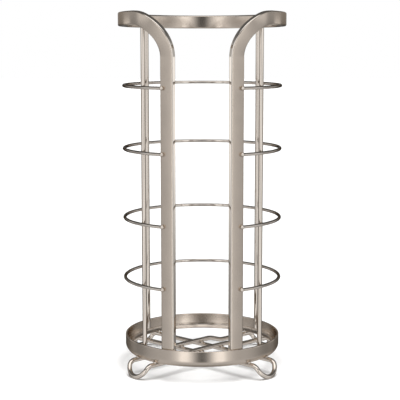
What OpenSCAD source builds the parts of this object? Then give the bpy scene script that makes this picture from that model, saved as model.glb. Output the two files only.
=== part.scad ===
// Toilet roll storage holder: a free-standing cage of welded flat bar and round wire.
// One flat bar makes both legs and the hoop at the top. It carries a base band, four
// guard rings, four upright rods and two crossed base wires whose ends are the feet.
// The origin is on the floor, in the middle of the footprint. +Z is up, and the open
// front is -Y. Angles round the cage are counted from the front, positive towards +X.

/* [Cage] */
// Radius of the cylinder where the inner uprights meet the outer rings
cage_r = 79; // [74:0.5:90]
// Clearance between two pieces that a weld bridges
weld_gap = 0.1; // [0.05:0.05:0.2]

/* [Flat bar] */
// Width of the flat bar
bar_w = 14; // [11:0.5:16]
// Thickness of the flat bar
bar_t = 7; // [5:0.2:8]
// Radius of the bar's four long edges
bar_edge_r = 1.6; // [0.8:0.1:2.2]

/* [Legs and hoop] */
// Angle from the front to the middle of each leg
leg_deg = 26.4; // [23:0.2:27.6]
// Radius of the edgewise bend from leg to hoop, at the middle of the bar
bend_r = 38; // [32:1:42]
// Share of the bend in which the bar moves out from inside the cage to outside it
flare_share = 0.76; // [0.5:0.02:0.78]
// Height of the middle of the hoop, on the axis of the cage
hoop_z = 360.4; // [350:0.2:420]
// Slope of the hoop, which is higher at the front
hoop_tilt = 1.2; // [0:0.1:3]

/* [Base band] */
// Height of the underside of the base band
band_z = 16.8; // [15:0.2:24]
// Height of the base band
band_h = 16.4; // [14.6:0.2:24]
// Thickness of the base band
band_t = 1.9; // [1.2:0.1:2.4]
// Outer radius of the band's lower edge, which rolls inwards
roll_r = 8; // [5:0.5:9]
// Angle through which the lower edge rolls
roll_deg = 50; // [30:1:55]
// Height of the lower ends of the legs and rods above the start of the rolled edge
seat_lift = 1; // [0.5:0.1:2]

/* [Guard rings] */
// Diameter of the guard ring wire
ring_d = 3.3; // [2.5:0.1:4.2]
// Height of the lowest guard ring
ring_1_z = 93.9; // [70:0.1:120]
// Height of the second guard ring
ring_2_z = 157.1; // [140:0.1:180]
// Height of the third guard ring
ring_3_z = 228.9; // [200:0.1:250]
// Height of the top guard ring
ring_4_z = 293.5; // [270:0.1:300]
// How far each ring end runs over the outer face of its leg
ring_lap = 2.2; // [1.8:0.1:5]

/* [Upright rods] */
// Diameter of the upright rods
rod_d = 4.8; // [3:0.2:6]
// Angle from the front to each front rod
rod_deg = 49.6; // [48:0.1:54]
// Angle from the back to each rear rod
rear_rod_deg = 51; // [48:0.1:54]
// Distance from the hoop's upper edge down to the rod ends
rod_drop = 3.5; // [2:0.5:6]

/* [Base wires and feet] */
// Diameter of the base wires
foot_d = 4.8; // [4:0.2:6]
// Angle from the front, or from the back, to each foot
foot_deg = 48.5; // [46:0.5:52]
// Distance between the two runs of a base wire, centre to centre
loop_w = 28; // [20:1:34]
// Distance from the outside of the base band to a foot's tip, at the centre of the wire
foot_out = 10.6; // [9:0.2:25]
// Slope of the feet below the level runs
foot_slope = 62; // [50:1:70]
// Radius of the bend from the level run down into a foot, at the centre of the wire
foot_bend_r = 8; // [6:0.5:10]
// Depth of the flat ground under each foot
foot_flat = 0.25; // [0.15:0.05:0.4]
// Length of each ramp on which the upper wire rises to pass over the lower one
ramp_len = 22; // [18:1:28]

/* [Welds] */
// Radius of the bead that ends each guard ring
bead_r = 2.2; // [2.1:0.1:2.6]
// Distance from a guard ring's end on to the middle of its bead
bead_lead = 0.6; // [0.3:0.1:1]
// Radius of the spot welds between guard rings and rods
ring_weld_r = 1.6; // [1.4:0.1:2]
// Radius of the spot welds on the base wires
wire_weld_r = 1.8; // [1.2:0.1:2.2]
// Reach of the fillet welds beside the legs, in the base band
leg_weld_r = 2.4; // [1.6:0.1:2.6]
// Reach of the fillet welds beside the rod ends
rod_weld_r = 2.4; // [1.8:0.1:2.8]
// Height of the fillet welds
weld_h = 4; // [2:0.5:4.5]

/* [Hidden] */

nickel = "#b8ad9f";
nickel_dark = "#8f877d";
nickel_wire = "#a89f93";
weld_metal = "#c4bbae";

// Faces round a hoop, a rod, a wire and a weld
hoop_fn = 240;
rod_fn = 60;
wire_fn = 36;
weld_fn = 60;
wire_sides = 14;
corner_steps = 4;
bend_steps = 16;
hoop_steps = 31;
ramp_steps = 8;
turn_steps = 18;
roll_steps = 8;
cap_step = 30;
// Play that keeps a cut or a list of stations clear of its own limits
margin = 1;
eps = 0.01;

ring_zs = [ring_1_z, ring_2_z, ring_3_z, ring_4_z];
sides = [-1, 1];
rod_degs = [-rod_deg, rod_deg, rear_rod_deg - 180, 180 - rear_rod_deg];

// Radii from the cage's axis to the middles of the bar, the rods and the wires.
// A leg's long edges touch the inside of the cage's cylinder.
band_outer_r = cage_r + band_t;
hoop_r = cage_r + bar_t / 2;
ring_r = cage_r + ring_d / 2;
rod_r = cage_r - weld_gap - rod_d / 2;
leg_r = bar_edge_r - bar_t / 2
    + sqrt(pow(cage_r - weld_gap - bar_edge_r, 2) - pow(bar_w / 2 - bar_edge_r, 2));

// The hoop reaches further back than the band reaches forward, so the axis stands
// a little in front of the origin
axis_y = (band_outer_r - hoop_r - bar_t / 2) / 2;

// The band's lower edge rolls round a circle, and ends in a round lip
roll_z = band_z + band_t / 2 + (roll_r - band_t / 2) * sin(roll_deg);
lip_r = band_outer_r - roll_r + (roll_r - band_t / 2) * cos(roll_deg);
seat_z = roll_z + seat_lift;

// Ways to place and to smooth

function smooth(f) = let (c = min(1, max(0, f))) c * c * (3 - 2 * c);
function unit(v) = v / norm(v);
function polar(deg, r, z) = [r * sin(deg), -r * cos(deg), z];
function arc_deg(length) = length / cage_r * 180 / PI;
function hoop_height(deg) = hoop_z + hoop_r * cos(deg) * tan(hoop_tilt);

module on_axis() {
    translate([0, axis_y, 0])
        children();
}

// Outline of the flat bar: x is its width and y its thickness, outwards
function bar_outline() = [
    for (q = [0 : 3])
        let (sx = (q == 0 || q == 3) ? 1 : -1, sy = (q < 2) ? 1 : -1)
            for (i = [0 : corner_steps])
                let (a = 90 * (q + i / corner_steps))
                    [sx * (bar_w / 2 - bar_edge_r) + bar_edge_r * cos(a),
                     sy * (bar_t / 2 - bar_edge_r) + bar_edge_r * sin(a)]
];

// Outline of a base wire
function wire_outline() = [
    for (i = [0 : wire_sides - 1])
        let (a = 360 * (i + 0.5) / wire_sides)
            foot_d / 2 * [cos(a), sin(a)]
];

// Direction of a path at its point i
function heading(path, i, closed) =
    let (n = len(path))
        closed ? unit(path[(i + 1) % n] - path[(i + n - 1) % n])
               : unit(path[min(i + 1, n - 1)] - path[max(i - 1, 0)]);

// An outline carried to a path point, with its y axis towards the outward direction
function outline_at(outline, p, t, out) =
    let (n = unit(out - (out * t) * t), w = cross(n, t))
        [for (q = outline) p + q[0] * w + q[1] * n];

// Sweeps an outline along a path, with an outward direction for each point of the path
module sweep(outline, path, outs, closed = false) {
    m = len(outline);
    n = len(path);
    points = [
        for (i = [0 : n - 1])
            each outline_at(outline, path[i], heading(path, i, closed), outs[i])
    ];
    walls = [
        for (i = [0 : (closed ? n : n - 1) - 1], j = [0 : m - 1])
            let (a = i * m, b = ((i + 1) % n) * m, k = (j + 1) % m)
                [a + j, b + j, b + k, a + k]
    ];
    ends = closed ? [] : [
        [for (j = [0 : m - 1]) j],
        [for (j = [m - 1 : -1 : 0]) (n - 1) * m + j]
    ];
    polyhedron(points, concat(walls, ends), convexity = 10);
}

// The flat bar's route, as stations of angle, radius and height.
// The bend is an arc wrapped round the cage. It turns from straight up to the slope
// of the hoop, and carries the bar out over the thickness that separates the two.
bend_u = cage_r * leg_deg * PI / 180 + bend_r;
bend_turn = 90 + atan(sin(arc_deg(bend_u)) * tan(hoop_tilt));
bend_z = hoop_height(arc_deg(bend_u)) - bend_r * sin(bend_turn);
hoop_start_deg = arc_deg(bend_u - bend_r * cos(bend_turn));
hoop_step_deg = (180 - hoop_start_deg) / hoop_steps;

function bend_station(f) =
    [arc_deg(bend_u - bend_r * cos(f * bend_turn)),
     leg_r + (hoop_r - leg_r) * smooth(f / flare_share),
     bend_z + bend_r * sin(f * bend_turn)];

function half_route() = concat(
    [[leg_deg, leg_r, seat_z]],
    [for (i = [0 : bend_steps]) bend_station(i / bend_steps)],
    [for (i = [1 : hoop_steps])
        let (deg = hoop_start_deg + hoop_step_deg * i)
            [deg, hoop_r, hoop_height(deg)]]
);

// One flat bar: left leg, bend, hoop round the back, bend, right leg
module handle_frame() {
    right = half_route();
    route = concat(
        [for (s = right) [-s[0], s[1], s[2]]],
        [for (i = [len(right) - 2 : -1 : 0]) right[i]]
    );
    color(nickel)
        on_axis()
            sweep(bar_outline(),
                  [for (s = route) polar(s[0], s[1], s[2])],
                  [for (s = route) polar(s[0], 1, 0)]);
}

// Section of a leg, seen from above
module leg_section(side) {
    rotate(side * leg_deg)
        translate([0, -leg_r])
            polygon(bar_outline());
}

// Section of the base band: a thin wall with a round top edge and a rolled lower edge
function band_section() =
    let (centre = [band_outer_r - roll_r, roll_z],
         down = [for (i = [0 : roll_steps])
             [cos(roll_deg * i / roll_steps), -sin(roll_deg * i / roll_steps)]],
         lip = centre + (roll_r - band_t / 2) * down[roll_steps],
         top = [cage_r + band_t / 2, band_z + band_h - band_t / 2])
        concat(
            [for (a = [0 : cap_step : 180]) top + band_t / 2 * [cos(a), sin(a)]],
            [for (d = down) centre + (roll_r - band_t) * d],
            [for (a = [180 - roll_deg + cap_step : cap_step : 360 - roll_deg - eps])
                lip + band_t / 2 * [cos(a), sin(a)]],
            [for (i = [roll_steps : -1 : 0]) centre + roll_r * down[i]]
        );

module band_ring() {
    rotate_extrude($fn = hoop_fn)
        polygon(band_section());
}

module base_band() {
    color(nickel_dark)
        on_axis()
            band_ring();
}

// A guard ring is open at the front, and each end runs a little way over a leg
ring_end_deg = leg_deg + arc_deg(bar_w / 2 - ring_lap);

module ring_wire(z) {
    translate([0, 0, z])
        rotate(ring_end_deg - 90)
            rotate_extrude(angle = 360 - 2 * ring_end_deg, $fn = hoop_fn)
                translate([ring_r, 0])
                    circle(d = ring_d, $fn = wire_fn);
}

module guard_ring(z) {
    color(nickel_wire)
        on_axis()
            ring_wire(z);
}

// An upright rod stands inside the band, the guard rings and the hoop
function rod_top_z(deg) = hoop_height(deg) + bar_w / 2 - rod_drop;

module rod_bar(deg) {
    translate(polar(deg, rod_r, seat_z))
        cylinder(d = rod_d, h = rod_top_z(deg) - seat_z, $fn = rod_fn);
}

module rod(deg) {
    color(nickel_wire)
        on_axis()
            rod_bar(deg);
}

// A base wire is a long closed loop, laid flat and then bent down at both ends.
// Along the loop, u is the flat distance from the cage's axis and v the distance aside.
run_z = band_z - weld_gap - foot_d / 2;
rise = foot_d + weld_gap;
tip_r = band_outer_r + foot_out;
tip_z = foot_d / 2 - foot_flat;
slope_len = (run_z - tip_z - foot_bend_r * (1 - cos(foot_slope))) / sin(foot_slope);
bend_start = tip_r - slope_len * cos(foot_slope) - foot_bend_r * sin(foot_slope);
bend_len = foot_bend_r * foot_slope * PI / 180;
end_u = bend_start + bend_len + slope_len - loop_w / 2;
// The upper wire is level where it crosses the lower one, and comes down on ramps
ramp_end = foot_d + loop_w / 2 * max(tan(foot_deg), 1 / tan(foot_deg));

// Place of a flat point of the loop once its ends are bent down and its middle is lifted
function bent(u, v, lift) =
    let (a = abs(u),
         turn = foot_slope * min(max((a - bend_start) / bend_len, 0), 1),
         past = max(a - bend_start - bend_len, 0))
        [sign(u) * (min(a, bend_start) + foot_bend_r * sin(turn) + past * cos(foot_slope)),
         v,
         run_z + lift * (1 - smooth((a - ramp_end) / ramp_len))
             - foot_bend_r * (1 - cos(turn)) - past * sin(foot_slope)];

// A quarter of the flat loop, from its ramp to the middle of its round end
function loop_quarter() = concat(
    [for (i = [0 : ramp_steps]) [ramp_end + ramp_len * i / ramp_steps, loop_w / 2]],
    [for (i = [0 : ramp_steps])
        let (u = bend_start + bend_len * i / ramp_steps)
            if (u < end_u - margin) [u, loop_w / 2]],
    [for (i = [0 : turn_steps / 2])
        let (a = 90 - 180 * i / turn_steps)
            [end_u + loop_w / 2 * cos(a), loop_w / 2 * sin(a)]]
);

function loop_points() =
    let (quarter = loop_quarter(), n = len(quarter))
        concat(
            quarter,
            [for (i = [n - 2 : -1 : 0]) [quarter[i][0], -quarter[i][1]]],
            [for (q = quarter) [-q[0], -q[1]]],
            [for (i = [n - 2 : -1 : 0]) [-quarter[i][0], quarter[i][1]]]
        );

module base_wire(deg, lift) {
    flat = loop_points();
    color(nickel_wire)
        on_axis()
            rotate(deg - 90)
                difference() {
                    sweep(wire_outline(),
                          [for (p = flat) bent(p[0], p[1], lift)],
                          [for (p = flat) [0, 0, 1]],
                          closed = true);
                    translate([-2 * tip_r, -loop_w, -foot_d])
                        cube([4 * tip_r, 2 * loop_w, foot_d]);
                }
}

// The two straight runs of a base wire, as plain round bar
module wire_runs(deg, lift) {
    for (side = sides)
        rotate(deg - 90)
            translate([-bend_start, side * loop_w / 2, run_z + lift])
                rotate([0, 90, 0])
                    cylinder(d = foot_d, h = 2 * bend_start, $fn = rod_fn);
}

// A ball of weld metal, whose poles point in and out so that the pieces it joins hide them
module weld_ball(deg, r, z, ball_r) {
    translate(polar(deg, r, z))
        rotate([90, 0, deg])
            rotate(45)
                sphere(r = ball_r, $fn = weld_fn);
}

// Round beads that end the guard rings on the outer faces of the legs
module ring_end_beads() {
    color(weld_metal)
        on_axis()
            for (z = ring_zs, side = sides)
                difference() {
                    weld_ball(side * (ring_end_deg - arc_deg(bead_lead)), ring_r, z, bead_r);
                    ring_wire(z);
                    translate([0, 0, z - bead_r - margin])
                        linear_extrude(2 * (bead_r + margin))
                            leg_section(side);
                }
}

// Spot welds where the guard rings cross the rods
module ring_spot_welds() {
    color(weld_metal)
        on_axis()
            for (z = ring_zs, deg = rod_degs)
                difference() {
                    weld_ball(deg, cage_r - weld_gap / 2, z, ring_weld_r);
                    ring_wire(z);
                    rod_bar(deg);
                }
}

// Fillet welds beside the legs, against the inside of the base band
module leg_welds() {
    color(weld_metal)
        on_axis()
            translate([0, 0, seat_z])
                for (side = sides, edge = sides)
                    linear_extrude(weld_h)
                        difference() {
                            intersection() {
                                rotate(side * leg_deg)
                                    translate([edge * bar_w / 2, -leg_r - bar_t / 2])
                                        circle(r = leg_weld_r, $fn = weld_fn);
                                circle(r = cage_r, $fn = hoop_fn);
                            }
                            leg_section(side);
                        }
}

// A fillet weld on both sides of a rod, against a round wall outside it
module rod_fillet(deg, wall_r, z) {
    spot = polar(deg, cage_r, 0);
    middle = polar(deg, rod_r, 0);
    translate([0, 0, z])
        linear_extrude(weld_h)
            difference() {
                intersection() {
                    translate([spot[0], spot[1]])
                        circle(r = rod_weld_r, $fn = weld_fn);
                    circle(r = wall_r, $fn = hoop_fn);
                }
                translate([middle[0], middle[1]])
                    circle(d = rod_d, $fn = rod_fn);
            }
}

// Fillet welds at both ends of each rod
module rod_welds() {
    hoop_wall_r = cage_r * cos(hoop_step_deg / 2);
    color(weld_metal)
        on_axis()
            for (deg = rod_degs) {
                rod_fillet(deg, cage_r, seat_z);
                rod_fillet(deg, hoop_wall_r, hoop_height(deg) - weld_h / 2);
            }
}

// Spot welds that hold the base wires to the band's lip and to each other
module base_wire_welds() {
    lip_u = sqrt(pow(lip_r, 2) - pow(loop_w / 2, 2));
    crossings = [
        for (side = sides, place = [[1 / cos(foot_deg), 0], [0, 1 / sin(foot_deg)]])
            side * loop_w / 2 * place
    ];
    color(weld_metal)
        on_axis() {
            for (deg = [-foot_deg, foot_deg], end = sides, side = sides)
                difference() {
                    rotate(deg - 90)
                        translate([end * lip_u, side * loop_w / 2, band_z - weld_gap / 2])
                            sphere(r = wire_weld_r, $fn = weld_fn);
                    band_ring();
                    wire_runs(deg, 0);
                }
            for (p = crossings)
                difference() {
                    translate([p[0], p[1], run_z + rise / 2])
                        sphere(r = wire_weld_r, $fn = weld_fn);
                    wire_runs(foot_deg, 0);
                    wire_runs(-foot_deg, rise);
                }
        }
}

handle_frame();
base_band();
guard_ring(ring_1_z);  // guard_ring_1
guard_ring(ring_2_z);  // guard_ring_2
guard_ring(ring_3_z);  // guard_ring_3
guard_ring(ring_4_z);  // guard_ring_4
rod(-rod_deg);  // rod_front_left
rod(rod_deg);  // rod_front_right
rod(rear_rod_deg - 180);  // rod_rear_left
rod(180 - rear_rod_deg);  // rod_rear_right
base_wire(foot_deg, 0);  // base_wire_lower
base_wire(-foot_deg, rise);  // base_wire_upper
ring_end_beads();
ring_spot_welds();
leg_welds();
rod_welds();
base_wire_welds();
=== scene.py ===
"""The looks of the toilet roll storage holder: satin nickel finish, floor, light and camera.

Everything is in metres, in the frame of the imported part: +Z up, open front at -Y.
"""

from math import atan, cos, degrees, pi, radians, sin, sqrt, tan

import bpy
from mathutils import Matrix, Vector


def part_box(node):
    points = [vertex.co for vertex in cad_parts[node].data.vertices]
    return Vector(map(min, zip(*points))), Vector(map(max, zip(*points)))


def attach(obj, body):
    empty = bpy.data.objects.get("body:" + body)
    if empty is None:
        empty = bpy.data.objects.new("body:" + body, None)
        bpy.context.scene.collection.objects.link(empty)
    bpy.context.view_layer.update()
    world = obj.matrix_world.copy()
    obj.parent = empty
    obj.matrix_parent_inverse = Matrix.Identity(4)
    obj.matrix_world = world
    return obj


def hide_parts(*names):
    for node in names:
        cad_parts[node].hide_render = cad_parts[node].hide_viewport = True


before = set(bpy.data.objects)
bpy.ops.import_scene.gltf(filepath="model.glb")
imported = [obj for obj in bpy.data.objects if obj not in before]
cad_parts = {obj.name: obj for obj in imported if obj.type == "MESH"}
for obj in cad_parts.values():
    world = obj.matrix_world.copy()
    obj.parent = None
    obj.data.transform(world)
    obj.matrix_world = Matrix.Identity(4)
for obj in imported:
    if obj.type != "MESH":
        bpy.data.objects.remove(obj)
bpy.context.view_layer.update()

MM = 0.001

# Sizes of the pieces that are drawn again here with finer faces
BAR_W = 14 * MM
BAR_T = 7 * MM
BAR_EDGE_R = 1.6 * MM
LEG_DEG = 26.4
BEND_R = 38 * MM
FLARE_SHARE = 0.76
HOOP_Z = 360.4 * MM
HOOP_TILT = 1.2
WELD_GAP = 0.1 * MM
BAND_T = 1.9 * MM
FOOT_D = 4.8 * MM
FOOT_DEG = 48.5
LOOP_W = 28 * MM
FOOT_OUT = 10.6 * MM
FOOT_SLOPE = 62
FOOT_BEND_R = 8 * MM
FOOT_FLAT = 0.25 * MM
RAMP_LEN = 22 * MM

# UV map of those pieces, in metres: u runs along a piece and v round it
ALONG = "Along"

# Places that the frame gives
band_low, band_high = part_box("base_band")
frame_low, frame_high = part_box("handle_frame")
AXIS_Y = (band_low.y + band_high.y) / 2
CAGE_R = (band_high.x - band_low.x) / 2 - BAND_T
BAND_Z = band_low.z
SEAT_Z = frame_low.z
HOOP_R = CAGE_R + BAR_T / 2


def smooth(f):
    """An even rise from 0 to 1 that starts and ends level."""
    c = min(1, max(0, f))
    return c * c * (3 - 2 * c)


def polar(deg, r, z):
    """A place by its angle from the front, its distance from the axis and its height."""
    return Vector((r * sin(radians(deg)), AXIS_Y - r * cos(radians(deg)), z))


def arc_deg(length):
    """The angle about the axis that a length round the cage takes up."""
    return degrees(length / CAGE_R)


def sweep(name, outline, path, outs, closed=False):
    """A mesh that carries an outline along a path, with flat ends where it is open.

    An outline's x points to the side, and its y in the direction that outs gives.
    """
    m, n = len(outline), len(path)
    points, lengths, length = [], [], 0
    for i, p in enumerate(path):
        ahead = path[(i + 1) % n] if closed else path[min(i + 1, n - 1)]
        behind = path[i - 1] if closed else path[max(i - 1, 0)]
        t = (ahead - behind).normalized()
        out = (outs[i] - outs[i].dot(t) * t).normalized()
        side = out.cross(t)
        points += [p + x * side + y * out for x, y in outline]
        length += (p - path[i - 1]).length if i else 0
        lengths.append(length)
    lengths.append(length + (path[0] - path[-1]).length)
    around = [0]
    for j in range(m):
        a, b = outline[j], outline[(j + 1) % m]
        around.append(around[-1] + sqrt((b[0] - a[0]) ** 2 + (b[1] - a[1]) ** 2))
    faces, uvs = [], []
    for i in range(n if closed else n - 1):
        for j in range(m):
            a, b, k = i * m, ((i + 1) % n) * m, (j + 1) % m
            faces.append((a + j, a + k, b + k, b + j))
            uvs += [(lengths[i], around[j]), (lengths[i], around[j + 1]),
                    (lengths[i + 1], around[j + 1]), (lengths[i + 1], around[j])]
    if not closed:
        faces += [tuple(range(m - 1, -1, -1)), tuple(range((n - 1) * m, n * m))]
        uvs += [outline[j] for j in range(m - 1, -1, -1)] + list(outline)
    mesh = bpy.data.meshes.new(name)
    mesh.from_pydata(points, [], faces)
    layer = mesh.uv_layers.new(name=ALONG)
    for loop, uv in zip(layer.data, uvs):
        loop.uv = uv
    mesh.shade_smooth()
    if not closed:
        for cap in mesh.polygons[-2:]:
            cap.use_smooth = False
    piece = bpy.data.objects.new(name, mesh)
    bpy.context.scene.collection.objects.link(piece)
    return piece


def bar_outline(corner_steps=6):
    """Outline of the flat bar with round edges: x is its width and y its thickness."""
    outline = []
    for quarter, (sx, sy) in enumerate([(1, 1), (-1, 1), (-1, -1), (1, -1)]):
        for i in range(corner_steps + 1):
            a = radians(90 * (quarter + i / corner_steps))
            outline.append((sx * (BAR_W / 2 - BAR_EDGE_R) + BAR_EDGE_R * cos(a),
                            sy * (BAR_T / 2 - BAR_EDGE_R) + BAR_EDGE_R * sin(a)))
    return outline


def handle_frame():
    """The flat bar: left leg, bend, hoop round the back, bend, right leg.

    The first step up a leg is short, so that the end's shading stays off the leg.
    """
    bend_steps, hoop_steps, leg_steps = 48, 90, 8
    end_step = 0.2 * MM
    leg_r = BAR_EDGE_R - BAR_T / 2 + sqrt(
        (CAGE_R - WELD_GAP - BAR_EDGE_R) ** 2 - (BAR_W / 2 - BAR_EDGE_R) ** 2)

    def hoop_height(deg):
        return HOOP_Z + HOOP_R * cos(radians(deg)) * tan(radians(HOOP_TILT))

    bend_u = CAGE_R * radians(LEG_DEG) + BEND_R
    turn = 90 + degrees(atan(sin(radians(arc_deg(bend_u))) * tan(radians(HOOP_TILT))))
    bend_z = hoop_height(arc_deg(bend_u)) - BEND_R * sin(radians(turn))
    start = arc_deg(bend_u - BEND_R * cos(radians(turn)))
    right = [(LEG_DEG, leg_r, SEAT_Z)]
    for i in range(leg_steps):
        climb = (bend_z - SEAT_Z - end_step) * i / leg_steps
        right.append((LEG_DEG, leg_r, SEAT_Z + end_step + climb))
    for i in range(bend_steps + 1):
        f = i / bend_steps
        right.append((arc_deg(bend_u - BEND_R * cos(radians(f * turn))),
                      leg_r + (HOOP_R - leg_r) * smooth(f / FLARE_SHARE),
                      bend_z + BEND_R * sin(radians(f * turn))))
    for i in range(1, hoop_steps + 1):
        deg = start + (180 - start) * i / hoop_steps
        right.append((deg, HOOP_R, hoop_height(deg)))
    route = [(-d, r, z) for d, r, z in right] + right[-2::-1]
    axis = Vector((0, AXIS_Y, 0))
    path = [polar(d, r, z) for d, r, z in route]
    outs = [polar(d, 1, 0) - axis for d, r, z in route]
    return sweep("flat_bar_frame", bar_outline(), path, outs)


def base_wire(name, deg, lift):
    """A base wire: a closed loop, laid flat and then bent down at both ends."""
    straight_steps, bend_steps, ramp_steps, turn_steps = 6, 16, 14, 32
    outer_steps, sides = 3, 20
    rise = FOOT_D + WELD_GAP if lift else 0
    run_z = BAND_Z - WELD_GAP - FOOT_D / 2
    slope, tip_r = radians(FOOT_SLOPE), CAGE_R + BAND_T + FOOT_OUT
    tip_z = FOOT_D / 2 - FOOT_FLAT
    slope_len = (run_z - tip_z - FOOT_BEND_R * (1 - cos(slope))) / sin(slope)
    bend_start = tip_r - slope_len * cos(slope) - FOOT_BEND_R * sin(slope)
    bend_len = FOOT_BEND_R * slope
    end_u = bend_start + bend_len + slope_len - LOOP_W / 2
    cross_tan = tan(radians(FOOT_DEG))
    ramp_end = FOOT_D + LOOP_W / 2 * max(cross_tan, 1 / cross_tan)
    ramp_stop = ramp_end + RAMP_LEN

    def bent(u, v):
        a = abs(u)
        turned = slope * min(max((a - bend_start) / bend_len, 0), 1)
        past = max(a - bend_start - bend_len, 0)
        reach = min(a, bend_start) + FOOT_BEND_R * sin(turned) + past * cos(slope)
        z = (run_z + rise * (1 - smooth((a - ramp_end) / RAMP_LEN))
             - FOOT_BEND_R * (1 - cos(turned)) - past * sin(slope))
        return (reach if u > 0 else -reach, v, z)

    half = LOOP_W / 2
    quarter = [(ramp_end * i / straight_steps, half) for i in range(straight_steps)]
    quarter += [(ramp_end + RAMP_LEN * i / ramp_steps, half) for i in range(ramp_steps)]
    quarter += [(ramp_stop + (bend_start - ramp_stop) * i / outer_steps, half)
                for i in range(outer_steps)]
    bend_us = [bend_start + bend_len * i / bend_steps for i in range(bend_steps)]
    quarter += [(u, half) for u in bend_us if u < end_u - MM]
    for i in range(turn_steps // 2 + 1):
        a = radians(90 - 180 * i / turn_steps)
        quarter.append((end_u + half * cos(a), half * sin(a)))
    flat = list(quarter)
    flat += [(u, -v) for u, v in quarter[-2::-1]]
    flat += [(-u, -v) for u, v in quarter[1:]]
    flat += [(-u, v) for u, v in quarter[-2:0:-1]]
    along = radians(deg - 90)
    path = []
    for u, v in flat:
        x, y, z = bent(u, v)
        path.append(Vector((x * cos(along) - y * sin(along),
                            AXIS_Y + x * sin(along) + y * cos(along), z)))
    outline = [(FOOT_D / 2 * cos(2 * pi * i / sides), FOOT_D / 2 * sin(2 * pi * i / sides))
               for i in range(sides)]
    piece = sweep(name, outline, path, [Vector((0, 0, 1))] * len(path), closed=True)
    for vertex in piece.data.vertices:
        vertex.co.z = max(vertex.co.z, 0)
    return piece


# Colours of the plated metal on each kind of piece, and a painted highlight for the narrow
# sides of the flat bar
NICKEL = (0.63, 0.56, 0.492)
# The wire colour, which the welds share, and the rod and ring colours are lighter than the
# bar's nickel though all are one plating: a painted highlight that makes their shine brighter
WIRE_HIGHLIGHT_METAL = (0.78, 0.715, 0.65)
ROD_HIGHLIGHT_METAL = (0.74, 0.68, 0.62)
RING_HIGHLIGHT_METAL = (0.7, 0.65, 0.6)
# The narrow sides' colour, far lighter than the bar's nickel, is a painted highlight; the
# sides are also smoother
SIDE_HIGHLIGHT_COLOUR = (0.92, 0.87, 0.81)
SIDE_ROUGHNESS = 0.05
# How far the colour and the roughness vary, as shares, and how far brushing spreads light
TONE_SHARE = 0.07
SHINE_SHARE = 0.15
BRUSHING = 0.8
# Tints of what the metal mirrors at a slant
BAR_EDGE_TINT = (0.6, 0.54, 0.48, 1)
WIRE_EDGE_TINT = (0.12, 0.1, 0.08, 1)


def smooth_sides_with_painted_highlight(nodes, links, shader, tone, spread):
    """Makes the two narrow sides of the flat bar smoother than its faces, and paints them
    lighter: a painted highlight along the sides.

    The UV map's v starts at a round edge, next to the end of a side. A cosine that has
    its crest in the middle of each side marks both.
    """
    corner = BAR_EDGE_R * pi / 2
    flat, side = BAR_W - 2 * BAR_EDGE_R, BAR_T - 2 * BAR_EDGE_R
    half_round = flat + side + 2 * corner
    place = nodes.new("ShaderNodeUVMap")
    place.uv_map = ALONG
    axes = nodes.new("ShaderNodeSeparateXYZ")
    links.new(place.outputs["UV"], axes.inputs["Vector"])
    shift = nodes.new("ShaderNodeMath")
    shift.operation = "SUBTRACT"
    links.new(axes.outputs["Y"], shift.inputs[0])
    shift.inputs[1].default_value = half_round - side / 2
    turn = nodes.new("ShaderNodeMath")
    turn.operation = "MULTIPLY"
    links.new(shift.outputs["Value"], turn.inputs[0])
    turn.inputs[1].default_value = 2 * pi / half_round
    wave = nodes.new("ShaderNodeMath")
    wave.operation = "COSINE"
    links.new(turn.outputs["Value"], wave.inputs[0])
    mask = nodes.new("ShaderNodeMapRange")
    mask.interpolation_type = "SMOOTHSTEP"
    mask.inputs["From Min"].default_value = 0.3
    mask.inputs["From Max"].default_value = 0.8
    links.new(wave.outputs["Value"], mask.inputs["Value"])
    # Painted highlight: the mask mixes the lighter side colour into the base colour
    colour = nodes.new("ShaderNodeMix")
    colour.data_type = "RGBA"
    links.new(mask.outputs["Result"], colour.inputs["Factor"])
    links.new(tone.outputs["Result"], colour.inputs["A"])
    colour.inputs["B"].default_value = (*SIDE_HIGHLIGHT_COLOUR, 1)
    links.new(colour.outputs["Result"], shader.inputs["Base Color"])
    shine = nodes.new("ShaderNodeMix")
    shine.data_type = "FLOAT"
    links.new(mask.outputs["Result"], shine.inputs["Factor"])
    links.new(spread.outputs["Result"], shine.inputs["A"])
    shine.inputs["B"].default_value = SIDE_ROUGHNESS
    links.new(shine.outputs["Result"], shader.inputs["Roughness"])


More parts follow.
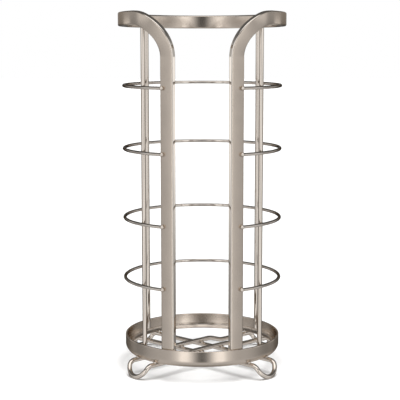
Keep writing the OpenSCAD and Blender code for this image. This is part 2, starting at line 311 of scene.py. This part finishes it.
def nickel(name, colour, roughness, streak_scale, space, grain=None, sides=False):
    """Satin nickel: a warm metal with fine streaks along the piece, and faint clouds.

    The grain is the direction of the brush lines: a UV map whose u runs along the piece,
    or RADIAL for lines that run round the holder's axis. Highlights spread across it.
    Round wire has no grain. With sides, the bar's narrow sides are smoother and carry a
    painted highlight in a lighter colour.
    """
    material = bpy.data.materials.new(name)
    material.use_nodes = True
    nodes, links = material.node_tree.nodes, material.node_tree.links
    shader = nodes["Principled BSDF"]
    shader.inputs["Metallic"].default_value = 1
    shader.inputs["Specular Tint"].default_value = WIRE_EDGE_TINT
    if grain:
        tangent = nodes.new("ShaderNodeTangent")
        if grain == "RADIAL":
            tangent.direction_type = "RADIAL"
            tangent.axis = "Z"
        else:
            tangent.direction_type = "UV_MAP"
            tangent.uv_map = grain
        links.new(tangent.outputs["Tangent"], shader.inputs["Tangent"])
        shader.inputs["Anisotropic"].default_value = BRUSHING
        shader.inputs["Anisotropic Rotation"].default_value = 0.25
        shader.inputs["Specular Tint"].default_value = BAR_EDGE_TINT
    coordinates = nodes.new("ShaderNodeTexCoord")
    stretch = nodes.new("ShaderNodeMapping")
    stretch.inputs["Scale"].default_value = streak_scale
    links.new(coordinates.outputs[space], stretch.inputs["Vector"])
    streaks = nodes.new("ShaderNodeTexNoise")
    streaks.inputs["Scale"].default_value = 1
    streaks.inputs["Detail"].default_value = 4
    streaks.inputs["Roughness"].default_value = 0.6
    links.new(stretch.outputs["Vector"], streaks.inputs["Vector"])
    clouds = nodes.new("ShaderNodeTexNoise")
    clouds.inputs["Scale"].default_value = 60
    clouds.inputs["Detail"].default_value = 2
    links.new(coordinates.outputs["Object"], clouds.inputs["Vector"])
    tone = nodes.new("ShaderNodeMix")
    tone.data_type = "RGBA"
    tone.inputs["A"].default_value = (*[c * (1 - TONE_SHARE) for c in colour], 1)
    tone.inputs["B"].default_value = (*[c * (1 + TONE_SHARE) for c in colour], 1)
    links.new(streaks.outputs["Fac"], tone.inputs["Factor"])
    links.new(tone.outputs["Result"], shader.inputs["Base Color"])
    spread = nodes.new("ShaderNodeMapRange")
    spread.inputs["From Min"].default_value = 0.3
    spread.inputs["From Max"].default_value = 0.7
    spread.inputs["To Min"].default_value = (1 - SHINE_SHARE) * roughness
    spread.inputs["To Max"].default_value = (1 + SHINE_SHARE) * roughness
    links.new(clouds.outputs["Fac"], spread.inputs["Value"])
    links.new(spread.outputs["Result"], shader.inputs["Roughness"])
    if sides:
        smooth_sides_with_painted_highlight(nodes, links, shader, tone, spread)
    bump = nodes.new("ShaderNodeBump")
    bump.inputs["Strength"].default_value = 0.15
    bump.inputs["Distance"].default_value = 0.02 * MM
    links.new(streaks.outputs["Fac"], bump.inputs["Height"])
    links.new(bump.outputs["Normal"], shader.inputs["Normal"])
    return material


def dress(piece, material, slot, *replaced):
    """Gives a piece its finish and puts it in the place of the solids it draws again."""
    piece.data.materials.clear()
    piece.data.materials.append(material)
    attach(piece, "root")
    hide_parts(*replaced)


# Streaks per metre along and across each kind of piece
SWEPT_STREAKS = (30, 6000, 1)
LEVEL_STREAKS = (300, 300, 4000)
UPRIGHT_STREAKS = (4000, 4000, 40)
WELD_STREAKS = (900, 900, 900)

# The bar's narrow sides and the lighter wire, rod, ring and weld colours carry painted
# highlights
bar_finish = nickel("satin_nickel_bar", NICKEL, 0.21, SWEPT_STREAKS, "UV", ALONG, True)
wire_finish = nickel("satin_nickel_wire", WIRE_HIGHLIGHT_METAL, 0.09, SWEPT_STREAKS, "UV")
band_finish = nickel("satin_nickel_band", NICKEL, 0.21, LEVEL_STREAKS, "Object", "RADIAL")
rod_finish = nickel("satin_nickel_rod", ROD_HIGHLIGHT_METAL, 0.06, UPRIGHT_STREAKS, "Object")
ring_finish = nickel("satin_nickel_ring", RING_HIGHLIGHT_METAL, 0.09, LEVEL_STREAKS, "Object")
weld_finish = nickel("plated_weld", WIRE_HIGHLIGHT_METAL, 0.07, WELD_STREAKS, "Object")

dress(handle_frame(), bar_finish, "flat_bar", "handle_frame")
dress(base_wire("crossed_wire_lower", FOOT_DEG, False), wire_finish, "wire", "base_wire_lower")
dress(base_wire("crossed_wire_upper", -FOOT_DEG, True), wire_finish, "wire", "base_wire_upper")

for node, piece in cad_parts.items():
    finish = weld_finish
    if node == "base_band":
        finish = band_finish
    elif node.startswith("rod_") and node != "rod_welds":
        finish = rod_finish
    elif node.startswith("guard_ring"):
        finish = ring_finish
    for material_slot in piece.material_slots:
        material_slot.material = finish


def stage_floor():
    """A plain pale floor, which the metal does not mirror."""
    half = 8
    mesh = bpy.data.meshes.new("floor")
    corners = [(-half, -half, 0), (half, -half, 0), (half, half, 0), (-half, half, 0)]
    mesh.from_pydata(corners, [], [(0, 1, 2, 3)])
    floor = bpy.data.objects.new("floor", mesh)
    floor.visible_glossy = False
    bpy.context.scene.collection.objects.link(floor)
    material = bpy.data.materials.new("pale_floor")
    material.use_nodes = True
    shader = material.node_tree.nodes["Principled BSDF"]
    shader.inputs["Base Color"].default_value = (0.9, 0.9, 0.9, 1)
    shader.inputs["Roughness"].default_value = 0.9
    shader.inputs["Specular IOR Level"].default_value = 0
    mesh.materials.append(material)


def soft_light(power, width_deg):
    """A wide soft light from above, for the floor. The metal mirrors only the studio."""
    light = bpy.data.lights.new("soft_light", "SUN")
    light.energy = power
    light.angle = radians(width_deg)
    lamp = bpy.data.objects.new("soft_light", light)
    back_deg, side_deg = 8, 4
    lamp.rotation_euler = (radians(back_deg), radians(side_deg), 0)
    lamp.visible_glossy = False
    bpy.context.scene.collection.objects.link(lamp)


# Brightness of the studio at eye level: degrees from the front to either side, and light.
# The colour ramp takes no light above 1, so that it holds shares of RAMP_TOP.
RAMP_TOP = 2
STUDIO = [(0, 0.1), (4, 0.13), (9, 0.42), (13.5, 0.78), (18, 1.25), (23, 1.6), (31, 1.65),
          (36, 1.1), (41, 0.85), (48, 0.64), (55, 0.56), (70, 0.52), (80, 0.46), (90, 0.38),
          (100, 0.28), (130, 0.24), (150, 0.2), (165, 0.14), (180, 0.1)]
# Light from above, from the ground round the holder and from straight below, and the
# heights in degrees over which each takes over
TOP_LIGHT, TOP_DEGS = 0.12, (12, 32)
LOW_LIGHT, LOW_DEGS = 0.66, (15, 36)
UNDER_LIGHT, UNDER_DEGS = 0.3, (58, 82)
WARM_LIGHT = (1, 0.985, 0.97, 1)
BACKDROP = 1.0
# Cards at both sides: light, degrees from the front over which a card fades in and out,
# and the same for its height. The first pair lights the hoop, the second its ends and the
# lower bends, the third the legs' sides, and the last is one wide card overhead, for rings
# and feet. Each covers those before it.
CARDS = [(0.92, (50, 66, 92, 105), (-2.5, 0, 12, 30)),
         (0.46, (94, 104, 170, 195), (-3, -0.5, 12, 18)),
         (1.08, (112, 118, 130, 136), (-14, -4, -0.8, 0.2)),
         (1.4, (-20, -10, 60, 90), (34, 42, 75, 88))]


def studio():
    """The studio that the metal mirrors: bright screens in front, cards, and dark behind.

    The camera sees a plain pale backdrop in every direction.
    """
    world = bpy.data.worlds.new("studio")
    world.use_nodes = True
    nodes, links = world.node_tree.nodes, world.node_tree.links

    def feed(socket, value):
        if isinstance(value, (int, float)):
            socket.default_value = value
        else:
            links.new(value, socket)

    def math(operation, *values):
        node = nodes.new("ShaderNodeMath")
        node.operation = operation
        for socket, value in zip(node.inputs, values):
            feed(socket, value)
        return node.outputs["Value"]

    def rise(value, start, end):
        node = nodes.new("ShaderNodeMapRange")
        node.interpolation_type = "SMOOTHSTEP"
        feed(node.inputs["Value"], value)
        node.inputs["From Min"].default_value = radians(start)
        node.inputs["From Max"].default_value = radians(end)
        return node.outputs["Result"]

    def blend(factor, a, b):
        node = nodes.new("ShaderNodeMix")
        node.data_type = "FLOAT"
        feed(node.inputs["Factor"], factor)
        feed(node.inputs["A"], a)
        feed(node.inputs["B"], b)
        return node.outputs["Result"]

    direction = nodes.new("ShaderNodeTexCoord")
    axes = nodes.new("ShaderNodeSeparateXYZ")
    links.new(direction.outputs["Generated"], axes.inputs["Vector"])
    front = math("MULTIPLY", axes.outputs["Y"], -1)
    aside = math("ABSOLUTE", math("ARCTAN2", axes.outputs["X"], front))
    height = math("ARCSINE", axes.outputs["Z"])
    ramp = nodes.new("ShaderNodeValToRGB")
    stops = ramp.color_ramp.elements
    for i, (deg, light) in enumerate(STUDIO):
        stop = stops[i] if i < 2 else stops.new(deg / 180)
        stop.position = deg / 180
        stop.color = (light / RAMP_TOP, light / RAMP_TOP, light / RAMP_TOP, 1)
    links.new(math("DIVIDE", aside, pi), ramp.inputs["Fac"])
    level = math("MULTIPLY", ramp.outputs["Color"], RAMP_TOP)
    depth = math("MULTIPLY", height, -1)
    level = blend(rise(height, *TOP_DEGS), level, TOP_LIGHT)
    level = blend(rise(depth, *LOW_DEGS), level, LOW_LIGHT)
    level = blend(rise(depth, *UNDER_DEGS), level, UNDER_LIGHT)
    for light, degs, heights in CARDS:
        across = math("SUBTRACT", rise(aside, *degs[:2]), rise(aside, *degs[2:]))
        upright = math("SUBTRACT", rise(height, *heights[:2]), rise(height, *heights[2:]))
        level = blend(math("MULTIPLY", across, upright), level, light)
    ray = nodes.new("ShaderNodeLightPath")
    level = blend(ray.outputs["Is Camera Ray"], level, BACKDROP)
    colour = nodes.new("ShaderNodeMix")
    colour.data_type = "RGBA"
    links.new(ray.outputs["Is Camera Ray"], colour.inputs["Factor"])
    colour.inputs["A"].default_value = WARM_LIGHT
    colour.inputs["B"].default_value = (1, 1, 1, 1)
    background = nodes["Background"]
    links.new(colour.outputs["Result"], background.inputs["Color"])
    links.new(level, background.inputs["Strength"])
    bpy.context.scene.world = world


def place_camera():
    """The camera as a fit to the rings, band and hoop in the photograph gives it."""
    focal_px, image_px, sensor = 1140.2, 400, 36
    distance, height, pitch, centre_px = 1.1791, 0.3439, 8.199, 202.14
    data = bpy.data.cameras.new("camera")
    data.sensor_width = sensor
    data.sensor_fit = "HORIZONTAL"
    data.lens = focal_px * sensor / image_px
    data.shift_x = (image_px / 2 - centre_px) / image_px
    camera = bpy.data.objects.new("camera", data)
    camera.location = (0, AXIS_Y - distance, height)
    camera.rotation_euler = (radians(90 - pitch), 0, 0)
    bpy.context.scene.collection.objects.link(camera)
    bpy.context.scene.camera = camera


stage_floor()
soft_light(3.0, 45)
studio()
place_camera()
bpy.context.scene.view_settings.view_transform = "Standard"
